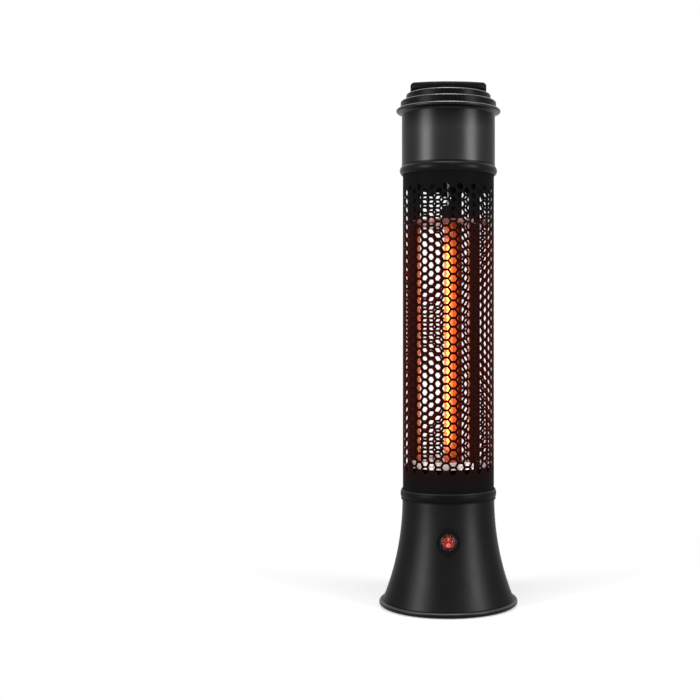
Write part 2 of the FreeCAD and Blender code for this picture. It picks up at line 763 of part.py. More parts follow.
def make_collars():
    lip = "(collar_inside + guard_wall)"
    low_edge = "bell_top + collar_step"
    low_top = "bell_top + lower_collar_height"

    def bead_curve(radius, height):
        rise = f"({radius} - {lip})"
        return f"(({height}) ^ 2 / 4 + {rise} ^ 2) / (2 * {rise})"

    lower_curve = bead_curve("lower_collar_radius", "lower_collar_height - collar_step")
    lower = lathe("lower_collar_blank", [
        ("ring_opening", "bell_top"),
        ("collar_step_radius", "bell_top"),
        ("collar_step_radius", low_edge),
        (lip, low_edge, lower_curve, 1),
        (lip, low_top),
        ("collar_inside", low_top),
        ("collar_inside", "column_bottom"),
        ("ring_opening", "column_bottom")])
    upper_low = "housing_bottom - upper_collar_height"
    upper_curve = bead_curve("upper_collar_radius", "upper_collar_height - collar_flange")
    upper = lathe("upper_collar_blank", [
        ("ring_opening", "column_top"),
        ("collar_inside", "column_top"),
        ("collar_inside", upper_low),
        (lip, upper_low, upper_curve, 1),
        (lip, "column_top"),
        (lip, "housing_bottom"),
        ("ring_opening", "housing_bottom")])
    node("lower_collar", cut(lower, [cylinder("rod_hole", "collar_flange", x, y, "bell_top")
                                     for x, y in POSTS]))
    node("upper_collar", cut(upper, [cylinder("rod_hole", "collar_flange", x, y, "column_top")
                                     for x, y in POSTS]))

    cutout_holes = [cylinder("small_screw_radius + running_gap", "deck_thickness", x, y, "upper_deck_bottom")
                    for x, y in cutout_screw_places()]
    for name, radius, level, extra in (
            ("lower_deck", "deck_radius", "lower_deck_bottom", []),
            ("upper_deck", "housing_radius - housing_wall - slip_gap", "upper_deck_bottom", cutout_holes)):
        holes = [cylinder("rod_hole", "deck_thickness", x, y, level) for x, y in POSTS]
        holes.append(cylinder("deck_hole", "deck_thickness", z=level))
        node(name, cut(cylinder(radius, "deck_thickness", z=level), holes + extra))

    grommets = []
    for level in ("lower_deck_bottom", "upper_deck_bottom"):
        grommets.append(lathe("grommet", [
            ("lead_radius + slip_gap", f"{level} - grommet_lip_height"),
            ("deck_hole + grommet_lip", f"{level} - grommet_lip_height"),
            ("deck_hole + grommet_lip", level),
            ("deck_hole - running_gap", level),
            ("deck_hole - running_gap", f"{level} + deck_thickness"),
            ("deck_hole + grommet_lip", f"{level} + deck_thickness"),
            ("deck_hole + grommet_lip", f"{level} + deck_thickness + grommet_lip_height"),
            ("lead_radius + slip_gap", f"{level} + deck_thickness + grommet_lip_height")]))
    node("deck_grommets", group(grommets))


# Honeycomb guard: one sheet cylinder with staggered hexagon holes

def make_guard():
    radius = value("guard_radius")
    wall = value("guard_wall")
    bottom = value("column_bottom")
    height = value("column_top - slip_gap") - bottom
    size = value("hole_size")
    pitch = value("hole_size + hole_bridge")
    columns = round(value("hole_columns"))
    step = 360 / columns
    rows = int((height - value("band_low + band_high") + value("hole_bridge")) / pitch)

    def sheet_sector(reach):
        return Part.makeCylinder(reach, height, Vector(0, 0, bottom), UP, 2 * step)

    sector = sheet_sector(radius).cut(sheet_sector(radius - wall))
    corner = size / math.sqrt(3)
    outline = []
    for index in range(7):
        angle = math.radians(60 * index)
        outline.append(Vector(radius - 2 * wall, corner * math.cos(angle), corner * math.sin(angle)))
    punch = Part.Face(Part.makePolygon(outline)).extrude(Vector(4 * wall, 0, 0))
    punches = []
    for column in range(3):
        first = bottom + value("band_low") + size / 2 + (0 if column == 1 else pitch / 2)
        for row in range(rows):
            tool = punch.copy()
            tool.rotate(Vector(), UP, column * step)
            tool.translate(Vector(0, 0, first + row * pitch))
            punches.append(tool)
    punched = sector.cut(punches)

    def on_border(face, angle):
        across = Vector(-math.sin(math.radians(angle)), math.cos(math.radians(angle)), 0)
        return all(abs(corner.Point.dot(across)) < 1e-6 for corner in face.Vertexes)

    skin = Part.makeCompound([face for face in punched.Faces
                              if not on_border(face, 0) and not on_border(face, 2 * step)])
    faces = []
    for index in range(columns // 2):
        turned = skin.copy()
        turned.rotate(Vector(), UP, 2 * step * index - 90 + value("guard_turn"))
        faces += turned.Faces
    sewn = Part.makeCompound(faces)
    sewn.sewShape(1e-4)
    shaped("guard", Part.Solid(sewn.Shells[0]))


# Posts: hollow tie rods with sleeves that space the pans

def make_posts():
    rods = []
    nuts = []
    for x, y in POSTS:
        rods.append(ring("rod_radius", "rod_bore", "rod_top - rod_bottom", x, y, "rod_bottom"))
        for level in ("lower_deck_bottom - rod_nut_height", "upper_deck_top"):
            nut = hexagon("rod_nut_flats", "rod_nut_height", x, y, level)
            nuts.append(cut(nut, [cylinder("rod_radius + running_gap", "rod_nut_height", x, y, level)]))
    node("tie_rods", group(rods))
    node("rod_nuts", group(nuts))

    def sleeve(length, x, y, level):
        return ring("post_radius", "rod_hole", length, x, y, level)

    node("lower_sleeves", group(sleeve("lower_sleeve", x, y, "column_bottom") for x, y in POSTS))
    node("upper_sleeves", group(sleeve("upper_sleeve", x, y, "upper_pan_face + pan_sheet")
                                for x, y in POSTS))
    for name, (x, y) in zip(("post_right", "post_rear", "post_left"), POSTS):
        node(name, sleeve("post_length", x, y, "lower_pan_face"))


# Reflector pans: polished dishes with a turned rim, notched round the posts, faces towards the tube

def make_pans():
    inner_bend = "pan_bend - pan_sheet"
    lower = lathe("lower_pan_blank", [
        ("pan_tube_hole", "lower_pan_face - pan_sheet"),
        ("pan_radius - pan_bend", "lower_pan_face - pan_sheet", inner_bend, -1),
        ("pan_radius - pan_sheet", "lower_pan_face - pan_bend"),
        ("pan_radius - pan_sheet", "lower_pan_face - lower_pan_rim"),
        ("pan_radius", "lower_pan_face - lower_pan_rim"),
        ("pan_radius", "lower_pan_face - pan_bend", "pan_bend", 1),
        ("pan_radius - pan_bend", "lower_pan_face"),
        ("pan_tube_hole", "lower_pan_face")])
    upper = lathe("upper_pan_blank", [
        ("pan_tube_hole", "upper_pan_face"),
        ("pan_radius - pan_bend", "upper_pan_face", "pan_bend", 1),
        ("pan_radius", "upper_pan_face + pan_bend"),
        ("pan_radius", "upper_pan_face + upper_pan_rim"),
        ("pan_radius - pan_sheet", "upper_pan_face + upper_pan_rim"),
        ("pan_radius - pan_sheet", "upper_pan_face + pan_bend", inner_bend, -1),
        ("pan_radius - pan_bend", "upper_pan_face + pan_sheet"),
        ("pan_tube_hole", "upper_pan_face + pan_sheet")])
    for name, pan, level, rim, rim_level in (
            ("lower_reflector", lower, "lower_pan_face - pan_sheet",
             "lower_pan_rim - pan_sheet", "lower_pan_face - lower_pan_rim"),
            ("upper_reflector", upper, "upper_pan_face",
             "upper_pan_rim - pan_sheet", "upper_pan_face + pan_sheet")):
        holes = [cylinder("rod_hole", "pan_sheet", x, y, level) for x, y in POSTS]
        holes += [cylinder("post_radius + slip_gap", rim, x, y, rim_level) for x, y in POSTS]
        for side in ("-", ""):
            holes.append(cylinder("rivet_radius + running_gap", "pan_sheet", side + "rivet_x", "0", level))
        node(name, cut(pan, holes))


# Heating tube with its coil, ceramic ends and the straps that carry it

def strap(name, base, seat, way):
    """Bent strap: base is the face under the cap, seat the hidden face of the pan."""
    outer = "strap_half + strap_sheet"
    reach = f"({outer} + strap_ear)"
    half = [("strap_half", base), ("strap_half", seat), (reach, seat), (reach, f"{seat} {way} strap_sheet"),
            (outer, f"{seat} {way} strap_sheet"), (outer, f"{base} {way} strap_sheet")]
    mirrored = [(f"-({x})", z) for x, z in reversed(half)]
    body = pad(name, "XZ_Plane", half + mirrored, "strap_width", symmetric=True)
    low = base if way == "+" else f"{base} - strap_sheet"
    holes = [cylinder("lead_radius + slip_gap", "strap_sheet", z=low)]
    ear = seat if way == "+" else f"{seat} - strap_sheet"
    for side in ("-", ""):
        holes.append(cylinder("rivet_radius + running_gap", "strap_sheet", side + "rivet_x", "0", ear))
    return node(name, cut(body, holes))


def make_element():
    strap("lower_tube_strap", "lower_cap_bottom", "lower_pan_face - pan_sheet", "-")
    strap("upper_tube_strap", "upper_cap_top", "upper_pan_face + pan_sheet", "+")
    rivets = []
    length = "pan_sheet + strap_sheet"
    for side in ("-", ""):
        x = side + "rivet_x"
        rivets.append(screw("rivet_radius", "rivet_head", length, "rivet_head_height", x, "0",
                            "lower_pan_face - pan_sheet - strap_sheet", True))
        rivets.append(screw("rivet_radius", "rivet_head", length, "rivet_head_height", x, "0",
                            "upper_pan_face + pan_sheet + strap_sheet", False))
    node("strap_rivets", group(rivets))

    socket = "tube_radius + running_gap"
    node("lower_end_cap", lathe("lower_cap", [
        ("pin_radius + running_gap", "lower_cap_bottom"),
        ("cap_radius", "lower_cap_bottom"),
        ("cap_radius", "lower_cap_top"),
        (socket, "lower_cap_top"),
        (socket, "tube_bottom"),
        ("pin_radius + running_gap", "tube_bottom")]))
    node("upper_end_cap", lathe("upper_cap", [
        ("pin_radius + running_gap", "tube_top"),
        (socket, "tube_top"),
        (socket, "upper_cap_bottom"),
        ("cap_radius", "upper_cap_bottom"),
        ("cap_radius", "upper_cap_top"),
        ("pin_radius + running_gap", "upper_cap_top")]))
    node("quartz_tube", ring("tube_radius", "tube_bore", "tube_top - tube_bottom", z="tube_bottom"))
    node("element_pins", group([
        fuse([cylinder("pin_radius", "tube_bottom - lower_cap_bottom", z="lower_cap_bottom"),
              cylinder("contact_radius", "contact_height", z="tube_bottom")]),
        fuse([cylinder("pin_radius", "upper_cap_top - tube_top", z="tube_top"),
              cylinder("contact_radius", "contact_height", z="tube_top - contact_height")])]))

    node("coil_core", cylinder("core_radius", "tube_top - tube_bottom - 2 * contact_height",
                               z="tube_bottom + contact_height"))
    wire = value("coil_wire")
    low = value("tube_bottom + contact_height") + 2 * wire
    high = value("tube_top - contact_height") - 2 * wire
    turns = value("coil_turns")
    foot = Vector(0, 0, low)
    shaped("heating_coil", coil_shape(foot, value("coil_radius"), (high - low) / turns, turns, wire))


def coil_shape(foot, radius, pitch, turns, wire):
    """One unbroken round wire wound upwards from foot, on pairs of arcs that share their tangents."""
    rise = pitch / (2 * math.pi)

    def point(angle):
        return foot + Vector(radius * math.cos(angle), radius * math.sin(angle), rise * angle)

    def heading(angle):
        return Vector(-radius * math.sin(angle), radius * math.cos(angle), rise).normalize()

    def arc(start, corner, finish):
        bow = math.cos((corner - start).getAngle(finish - start))
        middle = (start + corner * (2 * bow) + finish) * (1 / (2 + 2 * bow))
        return Part.Arc(start, middle, finish).toShape()

    quarters = int(round(4 * turns))
    first = point(0)
    edges = [Part.LineSegment(first - heading(0) * (2 * wire), first).toShape()]
    for index in range(quarters):
        here = index * math.pi / 2
        there = here + math.pi / 2
        start, finish = point(here), point(there)
        out, into = heading(here), heading(there)
        span = finish - start
        bend = 2 * (1 - out.dot(into))
        along = span.dot(out + into)
        reach = (math.sqrt(along ** 2 + bend * span.dot(span)) - along) / bend
        leave = start + out * reach
        enter = finish - into * reach
        middle = (leave + enter) * 0.5
        edges.append(arc(start, leave, middle))
        edges.append(arc(middle, enter, finish))
    last = point(quarters * math.pi / 2)
    tail = heading(quarters * math.pi / 2)
    edges.append(Part.LineSegment(last, last + tail * (2 * wire)).toShape())
    path = Part.Wire(edges)
    start = first - heading(0) * (2 * wire)
    profile = Part.Wire(Part.makeCircle(wire, start, heading(0)))
    tube = path.makePipeShell([profile], True, False)
    print("coil of", turns, "turns, least gap to itself", round(least_gap(path, radius, wire, turns), 3))
    return tube


def least_gap(path, radius, wire, turns):
    """Least clear distance between stretches of a wound wire half a turn or more apart."""
    points = path.discretize(Number=int(24 * turns))
    apart = int(math.pi * radius / (path.Length / len(points)))
    spacing = min(points[index].distanceToPoint(other)
                  for index in range(len(points) - apart) for other in points[index + apart:])
    return spacing - 2 * wire


# Top housing and the stepped cap, with its cup for the fingers

def cutout_screw_places():
    reach = "(cutout_ear - small_screw_head)"
    return [(f"(cutout_x - {reach})", "cutout_y"), (f"(cutout_x + {reach})", "cutout_y")]


def make_top():
    inside = "housing_radius - housing_wall"
    shell = lathe("top_housing_blank", [
        ("ring_opening", "housing_bottom"),
        ("housing_radius", "housing_bottom"),
        ("housing_radius", "housing_top"),
        (inside, "housing_top"),
        (inside, "upper_deck_bottom"),
        ("ring_opening", "upper_deck_bottom")])
    node("top_housing", cut(shell, [cylinder("rod_hole", "housing_wall", x, y, "housing_bottom")
                                    for x, y in POSTS]))

    skirt = f"{inside} - slip_gap"
    opening = "(cup_radius + cup_wall + clear_gap)"
    flange = lathe("cap_flange_blank", [
        (f"{skirt} - skirt_wall", "housing_top - skirt_depth"),
        (skirt, "housing_top - skirt_depth"),
        (skirt, "housing_top"),
        ("housing_radius", "housing_top", "brim_cove", -1),
        ("cap_flange_radius - brim_lip", "flange_top - 2 * brim_lip", "brim_lip", 1),
        ("cap_flange_radius", "flange_top - brim_lip", "brim_lip", 1),
        ("cap_flange_radius - brim_lip", "flange_top"),
        (opening, "flange_top"),
        (opening, "flange_top - cap_plate"),
        (f"{skirt} - skirt_wall", "flange_top - cap_plate")])
    drum = lathe("cap_drum_blank", [
        ("drum_radius - cap_plate", "flange_top"),
        ("drum_radius", "flange_top"),
        ("drum_radius", "drum_top - cap_edge", "cap_edge", 1),
        ("drum_radius - cap_edge", "drum_top"),
        (opening, "drum_top"),
        (opening, "drum_top - cap_plate"),
        ("drum_radius - cap_plate", "drum_top - cap_plate")])
    crown = lathe("cap_crown_blank", [
        ("crown_bore", "drum_top"),
        ("crown_radius", "drum_top"),
        ("crown_radius", "crown_top - cap_edge", "cap_edge", 1),
        ("crown_radius - cap_edge", "crown_top"),
        ("cup_lip + slip_gap", "crown_top"),
        ("cup_lip + slip_gap", "crown_top - cup_wall"),
        ("crown_bore", "crown_top - cup_wall")])
    screws = list(around("cap_screw_circle", "0", 3))
    hole = "cap_screw_radius + running_gap"
    head_seat = "flange_top - cap_plate"
    reach = f"drum_top + cap_screw_bite - ({head_seat})"
    pillars = [("-pillar_x", "0"), ("pillar_x", "0")]
    head = "handle_screw_head + slip_gap"
    node("cap_flange", cut(flange, [cylinder(hole, "cap_plate", x, y, head_seat) for x, y in screws]))
    node("cap_drum", cut(drum, [cylinder(hole, "cap_plate", x, y, "drum_top - cap_plate")
                                for x, y in screws]))
    crown_holes = [cylinder(hole, "cap_screw_bite", x, y, "drum_top") for x, y in screws]
    for x, y in pillars:
        crown_holes.append(fuse([
            cylinder(head, "handle_screw_head", x, y, "drum_top"),
            cylinder("handle_screw_radius + running_gap", "crown_height", x, y, "drum_top")]))
    node("cap_crown", cut(crown, crown_holes))
    node("cap_screws", group(
        screw("cap_screw_radius", "cap_screw_head", reach, "cap_screw_head_height", x, y, head_seat, True)
        for x, y in screws))
    node("handle_screws", group(
        screw("handle_screw_radius", "handle_screw_head",
              "crown_height - handle_screw_head + finger_gap + handle_screw_bite", "handle_screw_head",
              x, y, "drum_top + handle_screw_head", True)
        for x, y in pillars))
    node("finger_cup", lathe("cup", [
        ("0", "crown_top - cup_depth - cup_wall"),
        ("cup_radius + cup_wall", "crown_top - cup_depth - cup_wall"),
        ("cup_radius + cup_wall", "crown_top - cup_wall"),
        ("cup_lip", "crown_top - cup_wall"),
        ("cup_lip", "crown_top"),
        ("cup_radius", "crown_top"),
        ("cup_radius", "crown_top - cup_depth"),
        ("0", "crown_top - cup_depth")]))


def make_cutout():
    ear = box("2 * cutout_ear", "cutout_ear_width", "pan_sheet", "cutout_x", "cutout_y", "upper_deck_top")
    can = cylinder("cutout_radius", "cutout_height", "cutout_x", "cutout_y", "upper_deck_top")
    holes = [cylinder("small_screw_radius + running_gap", "pan_sheet", x, y, "upper_deck_top")
             for x, y in cutout_screw_places()]
    node("thermal_cutout", cut(fuse([ear, can]), holes))
    node("cutout_screws", group(
        screw("small_screw_radius", "small_screw_head", "pan_sheet + deck_thickness", "small_screw_radius",
              x, y, "upper_deck_top + pan_sheet", False)
        for x, y in cutout_screw_places()))


# Carry handle: a lens-shaped grip on two short pillars

def make_handle():
    middle = "(handle_half_length - handle_end)"
    bulge = "(handle_half_depth - handle_end)"
    flank = f"(({middle} ^ 2 + handle_half_depth ^ 2 - handle_end ^ 2) / (2 * {bulge}))"
    x = f"({flank} * {middle} / ({flank} - handle_end))"
    y = f"(handle_half_depth - {flank} + {flank} * ({flank} - handle_half_depth) / ({flank} - handle_end))"
    grip = pad("grip", "XY_Plane", [
        (f"-{x}", f"-{y}", flank, 1),
        (x, f"-{y}", "handle_end", 1),
        (x, y, flank, 1),
        (f"-{x}", y, "handle_end", 1)], "handle_thickness", "handle_bottom")
    doc.recompute()
    block = grip.Tip
    levels = (value("handle_bottom"), value("handle_bottom + handle_thickness"))
    rims = [f"Edge{index}" for index, edge in enumerate(block.Shape.Edges, start=1)
            if edge.BoundBox.ZLength < 1e-6 and any(abs(edge.BoundBox.ZMin - z) < 1e-6 for z in levels)]
    rounding = grip.newObject("PartDesign::Fillet", "rounding")
    rounding.Base = (block, rims)
    bind(rounding, Radius="handle_round")
    pillars = [cylinder("pillar_radius", "finger_gap + handle_thickness / 2", x, "0", "crown_top")
               for x in ("-pillar_x", "pillar_x")]
    holes = [cylinder("handle_screw_radius + running_gap", "finger_gap + handle_screw_bite", x, "0",
                      "crown_top") for x in ("-pillar_x", "pillar_x")]
    node("carry_handle", cut(fuse([grip] + pillars), holes))


# Sleeved leads inside the heater

def lead_shape(points):
    """Round lead along straight runs joined by arcs as wide as the runs allow."""
    radius = value("lead_radius")
    edges = []
    start = points[0]
    for before, here, after in zip(points, points[1:], points[2:]):
        arriving = (here - before).normalize()
        leaving = (after - here).normalize()
        half_turn = arriving.getAngle(leaving) / 2
        shorter = min((here - before).Length, (after - here).Length)
        trim = min(value("lead_bend") * math.tan(half_turn), 0.45 * shorter)
        bend = trim / math.tan(half_turn)
        inward = (leaving - arriving).normalize()
        middle = here + inward * (bend / math.cos(half_turn) - bend)
        edges.append(Part.LineSegment(start, here - arriving * trim).toShape())
        edges.append(Part.Arc(here - arriving * trim, middle, here + leaving * trim).toShape())
        start = here + leaving * trim
    edges.append(Part.LineSegment(start, points[-1]).toShape())
    path = Part.Wire(edges)
    profile = Part.Wire(Part.makeCircle(radius, points[0], points[1] - points[0]))
    tube = path.makePipeShell([profile], True, False)
    spread = tube.Volume / (math.pi * radius ** 2 * path.Length)
    print("lead of", round(path.Length, 1), "mm, volume over section times length", round(spread, 4))
    return tube


def spot(x, y, z):
    return Vector(value(x), value(y), value(z))


def make_leads():
    loop = "upper_deck_top + lead_loop"
    tab = "cutout_radius / 2"
    shaped("upper_lead", lead_shape([
        spot("0", "0", "upper_cap_top"),
        spot("0", "0", loop),
        spot(f"cutout_x - {tab}", "cutout_y", loop),
        spot(f"cutout_x - {tab}", "cutout_y", "cutout_top")]))

    rear_x, rear_y = POSTS[1]
    block_back = "block_y + block_depth / 2"
    block_front = "block_y - block_depth / 2"
    shaped("return_lead", lead_shape([
        spot(f"cutout_x + {tab}", "cutout_y", "cutout_top"),
        spot(f"cutout_x + {tab}", "cutout_y", loop),
        spot(rear_x, rear_y, loop),
        spot(rear_x, rear_y, "lead_level + 2 * lead_bend"),
        spot("block_x + block_pitch", f"{block_back} + lead_bend", "lead_level"),
        spot("block_x + block_pitch", block_back, "lead_level")]))

    shaped("lower_lead", lead_shape([
        spot("0", "0", "lower_cap_bottom"),
        spot("0", "0", "switch_height + lead_bend"),
        spot("tip_x + tip_length / 4", "0", "switch_height + lead_bend"),
        spot("tip_x + tip_length / 4", "0", "tip_top")]))

    def behind_switch(side, depth):
        angle = math.radians(value("switch_tilt"))
        seat = spot(f"{side} blade_spread", "-switch_seat", "switch_height")
        return seat + Vector(0, math.cos(angle), -math.sin(angle)) * depth

    blade = -value("blade_end")
    turn_in = blade + 2 * value("lead_bend")
    bend_in = behind_switch("-", turn_in)
    shaped("switch_feed_lead", lead_shape([
        behind_switch("-", blade),
        bend_in,
        Vector(bend_in.x, bend_in.y, value("lead_level")),
        Vector(bend_in.x, value(block_front), value("lead_level"))]))
    bend_out = behind_switch("", turn_in)
    tip_lead_x = value("tip_x - tip_length / 4")
    shaped("switch_tip_lead", lead_shape([
        behind_switch("", blade),
        bend_out,
        Vector(tip_lead_x, 0, bend_out.z),
        Vector(tip_lead_x, 0, value("tip_top"))]))


make_base()
make_bell()
make_switch()
make_tip_switch()
make_terminal_block()
make_inner_screws()
make_gland()
make_collars()
make_guard()
make_posts()
make_pans()
make_element()
make_top()
make_cutout()
make_handle()
make_leads()
doc.recompute()

# Every object has to be whole before anything is written
for item in doc.Objects:
    if "Invalid" in item.State or "Error" in item.State:
        raise RuntimeError(f"{item.Label} failed: {item.State}")
for name, item in parts.items():
    if item.Shape.isNull() or not item.Shape.isValid() or not item.Shape.Solids:
        raise RuntimeError(f"{name} has no sound shape")

os.makedirs("parts", exist_ok=True)
for name, item in parts.items():
    item.Shape.exportStep(f"parts/{name}.step")
print(len(parts), "nodes")
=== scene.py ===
import math

import bpy
from mathutils import Matrix, Vector


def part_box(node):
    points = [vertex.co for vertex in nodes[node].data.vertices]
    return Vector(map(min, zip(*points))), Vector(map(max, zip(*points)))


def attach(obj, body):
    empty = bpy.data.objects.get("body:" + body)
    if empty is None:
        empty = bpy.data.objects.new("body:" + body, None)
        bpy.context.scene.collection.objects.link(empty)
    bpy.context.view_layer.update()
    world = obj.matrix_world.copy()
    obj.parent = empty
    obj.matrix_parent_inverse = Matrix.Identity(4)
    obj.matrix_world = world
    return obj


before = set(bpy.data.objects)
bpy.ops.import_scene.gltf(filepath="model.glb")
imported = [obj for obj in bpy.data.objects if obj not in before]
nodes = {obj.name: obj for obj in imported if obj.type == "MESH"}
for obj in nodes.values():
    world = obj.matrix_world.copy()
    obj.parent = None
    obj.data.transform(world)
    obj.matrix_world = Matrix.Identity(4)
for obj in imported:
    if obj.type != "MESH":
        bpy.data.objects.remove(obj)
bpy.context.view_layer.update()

MM = 0.001

# Photograph: a square frame, with the heater's axis, the eye level, the floor and the distance in its pixels
IMAGE_SIZE = 700
AXIS_PIXEL = 448.4
EYE_PIXEL = 325.0
FLOOR_PIXEL = 603.5
DISTANCE_PIXELS = 1215.0
METRES_PER_PIXEL = 1.15 * MM

# Switch seat on the bell, as the solids have it, with heights above that seat
SWITCH_SEAT = Vector((0, -55.614, 80.0)) * MM
SWITCH_TILT = math.radians(7.775)
ROCKER_VALLEY = 2.4 * MM
BEZEL_TOP = 2.6 * MM
ROCKER_THROW = math.radians(20)

# Marks on the rocker: the oval ring has half widths across and along, and both sit off the valley
MARK_THICKNESS = 0.12 * MM
BAR_WIDTH = 1.2 * MM
BAR_LENGTH = 3.4 * MM
BAR_OFFSET = 3.3 * MM
MARK_RING_OUTER = (1.9 * MM, 2.1 * MM)
MARK_RING_INNER = (0.9 * MM, 1.1 * MM)
MARK_RING_OFFSET = -3.1 * MM
MARK_RING_STEPS = 40

# Flat rings round the rocker: a ring of painted shade and reflection, and the line at the foot of the boot
SHADE_RING_OUTER = 8.2 * MM
SHADE_RING_INNER = 6.9 * MM
LINE_OUTER = 8.7 * MM
LINE_INNER = 8.3 * MM
FLAT_RING_THICKNESS = 0.25 * MM
FLAT_RING_STEPS = 72

# The hot length of the coil sits a little below the middle of its tube
HOT_DROP = 3.0 * MM

# Distances in from the ends of the hot tube: where its glow sets in and is full, and where the painted glow
# of the tube on the enamel beside it does. A distance below zero lies beyond the end.
GLOW_FROM = 27.0 * MM
GLOW_FULL = 43.0 * MM
PAINTED_GLOW_FROM = -10.0 * MM
PAINTED_GLOW_FULL = 30.0 * MM

# Glow of the tube, which covers part of what is behind it, and of the wire inside
QUARTZ_GLOW = 1.35
QUARTZ_COVER = 0.6
WIRE_GLOW = 60.0

# Painted shade under the brim: the housing's sheen fades from below the flange's lowest edge to above it
BRIM_SHADE_BELOW = 12.0 * MM
BRIM_SHADE_ABOVE = 15.0 * MM

# Upward part of a face's normal between which an upper edge sets in and ends, and a level face sets in
EDGE_STARTS = (0.3, 0.6)
EDGE_ENDS = (0.8, 0.97)
LEVEL_STARTS = (0.5, 0.9)

# Most of a noise lies between these two values, so gloss runs through its range there
NOISE_RANGE = (0.3, 0.7)

# Depth of the bumps, and how slowly brushed lines change round the axis next to along it
GRAIN_DEPTH = 0.1 * MM
LINE_DEPTH = 0.05 * MM
LINE_DRAG = 0.05

# Scale of the patches in a finish, per metre, where it isn't the usual one
EDGE_HIGHLIGHT_PATCHES = 90.0
PAINTED_LIT_PATCHES = 60.0
PAN_PATCHES = 120.0
LENS_PATCHES = 250.0
LENS_GLOW_PATCHES = 180.0
BOOT_PATCHES = 150.0

# Index of refraction of the thin clear boot, and specular level of the lit plastic
BOOT_BENDING = 1.12
LENS_SHINE = 0.12

# Floor: half width, shade of its matt surface, light added to it where it is shown, and the distances
# from the middle between which it is shown more and more as plain white
FLOOR_REACH = 12.0
FLOOR_SHADE = 0.8
FLOOR_LIFT = 0.42
WHITE_FROM = 0.12
WHITE_FULL = 0.5

# Light: weak fill from all round, two tall strips to the sides of the camera and one overhead
FILL_LEVEL = 0.15
LIGHT_AIM = (0, 0, 0.45)
STRIP_DISTANCE = 1.5
STRIP_ANGLE = math.radians(56)
STRIP_HEIGHT = 0.55
OVERHEAD_PLACE = (0, -0.3, 1.7)


# Node helpers

def feed(tree, socket, value):
    """Link an input to an output, or set it to a plain value."""
    if isinstance(value, bpy.types.NodeSocket):
        tree.links.new(value, socket)
    else:
        socket.default_value = value


def surface(tree, kind):
    """The piece's own coordinates, or its normal in them."""
    return tree.nodes.new("ShaderNodeTexCoord").outputs[kind]


def upright_part(tree, vector):
    split = tree.nodes.new("ShaderNodeSeparateXYZ")
    tree.links.new(vector, split.inputs[0])
    return split.outputs["Z"]


def number_step(tree, operation, *values):
    step = tree.nodes.new("ShaderNodeMath")
    step.operation = operation
    for socket, value in zip(step.inputs, values):
        feed(tree, socket, value)
    return step.outputs[0]


def vector_step(tree, operation, *values, result="Vector"):
    step = tree.nodes.new("ShaderNodeVectorMath")
    step.operation = operation
    for socket, value in zip(step.inputs, values):
        feed(tree, socket, value)
    return step.outputs[result]


def ramp(tree, value, start, stop, low=0.0, high=1.0):
    """Low up to the start, high from the stop on, and even in between."""
    span = tree.nodes.new("ShaderNodeMapRange")
    for name, part in (("Value", value), ("From Min", start), ("From Max", stop), ("To Min", low),
                       ("To Max", high)):
        feed(tree, span.inputs[name], part)
    return span.outputs["Result"]


def blend(tree, factor, low, high, kind="RGBA"):
    """Colour, or a number if the kind is FLOAT, between two others."""
    mix = tree.nodes.new("ShaderNodeMix")
    mix.data_type = kind
    for name, part in (("Factor", factor), ("A", low), ("B", high)):
        feed(tree, mix.inputs[name], part)
    return mix.outputs["Result"]


def noise(tree, place, scale, detail):
    texture = tree.nodes.new("ShaderNodeTexNoise")
    for name, part in (("Vector", place), ("Scale", scale), ("Detail", detail)):
        feed(tree, texture.inputs[name], part)
    return texture.outputs["Fac"]


# Shader node groups

def shader_group(name, inputs, outputs):
    """Empty group with named sockets: its tree, the inputs' values and the sockets to fill."""
    tree = bpy.data.node_groups.new(name, "ShaderNodeTree")
    for socket, kind, value in inputs:
        made = tree.interface.new_socket(socket, in_out="INPUT", socket_type=kind)
        made.default_value = value
    for socket, kind in outputs:
        tree.interface.new_socket(socket, in_out="OUTPUT", socket_type=kind)
    return tree, tree.nodes.new("NodeGroupInput").outputs, tree.nodes.new("NodeGroupOutput").inputs


def make_finish_group():
    """Uneven colour and gloss over a surface, with a fine grain for its bump."""
    tree, given, filled = shader_group(
        "uneven finish",
        [("Low Color", "NodeSocketColor", (0, 0, 0, 1)),
         ("High Color", "NodeSocketColor", (1, 1, 1, 1)),
         ("Low Roughness", "NodeSocketFloat", 0.3),
         ("High Roughness", "NodeSocketFloat", 0.5),
         ("Patch Scale", "NodeSocketFloat", 40.0),
         ("Grain Scale", "NodeSocketFloat", 1500.0)],
        [("Color", "NodeSocketColor"), ("Roughness", "NodeSocketFloat"), ("Height", "NodeSocketFloat")])
    place = surface(tree, "Object")
    patches = noise(tree, place, given["Patch Scale"], detail=4.0)
    grain = noise(tree, place, given["Grain Scale"], detail=2.0)
    color = blend(tree, patches, given["Low Color"], given["High Color"])
    gloss = ramp(tree, patches, *NOISE_RANGE, given["Low Roughness"], given["High Roughness"])
    tree.links.new(color, filled["Color"])
    tree.links.new(gloss, filled["Roughness"])
    tree.links.new(grain, filled["Height"])
    return tree


def make_brushed_group():
    """Fine lines round the upright axis, as left by spinning or polishing."""
    tree, given, filled = shader_group(
        "brushed lines",
        [("Low Roughness", "NodeSocketFloat", 0.2),
         ("High Roughness", "NodeSocketFloat", 0.4),
         ("Line Scale", "NodeSocketFloat", 900.0)],
        [("Roughness", "NodeSocketFloat"), ("Height", "NodeSocketFloat")])
    drawn_out = vector_step(tree, "MULTIPLY", surface(tree, "Object"), (LINE_DRAG, LINE_DRAG, 1.0))
    lines = noise(tree, drawn_out, given["Line Scale"], detail=3.0)
    gloss = ramp(tree, lines, *NOISE_RANGE, given["Low Roughness"], given["High Roughness"])
    tree.links.new(gloss, filled["Roughness"])
    tree.links.new(lines, filled["Height"])
    return tree


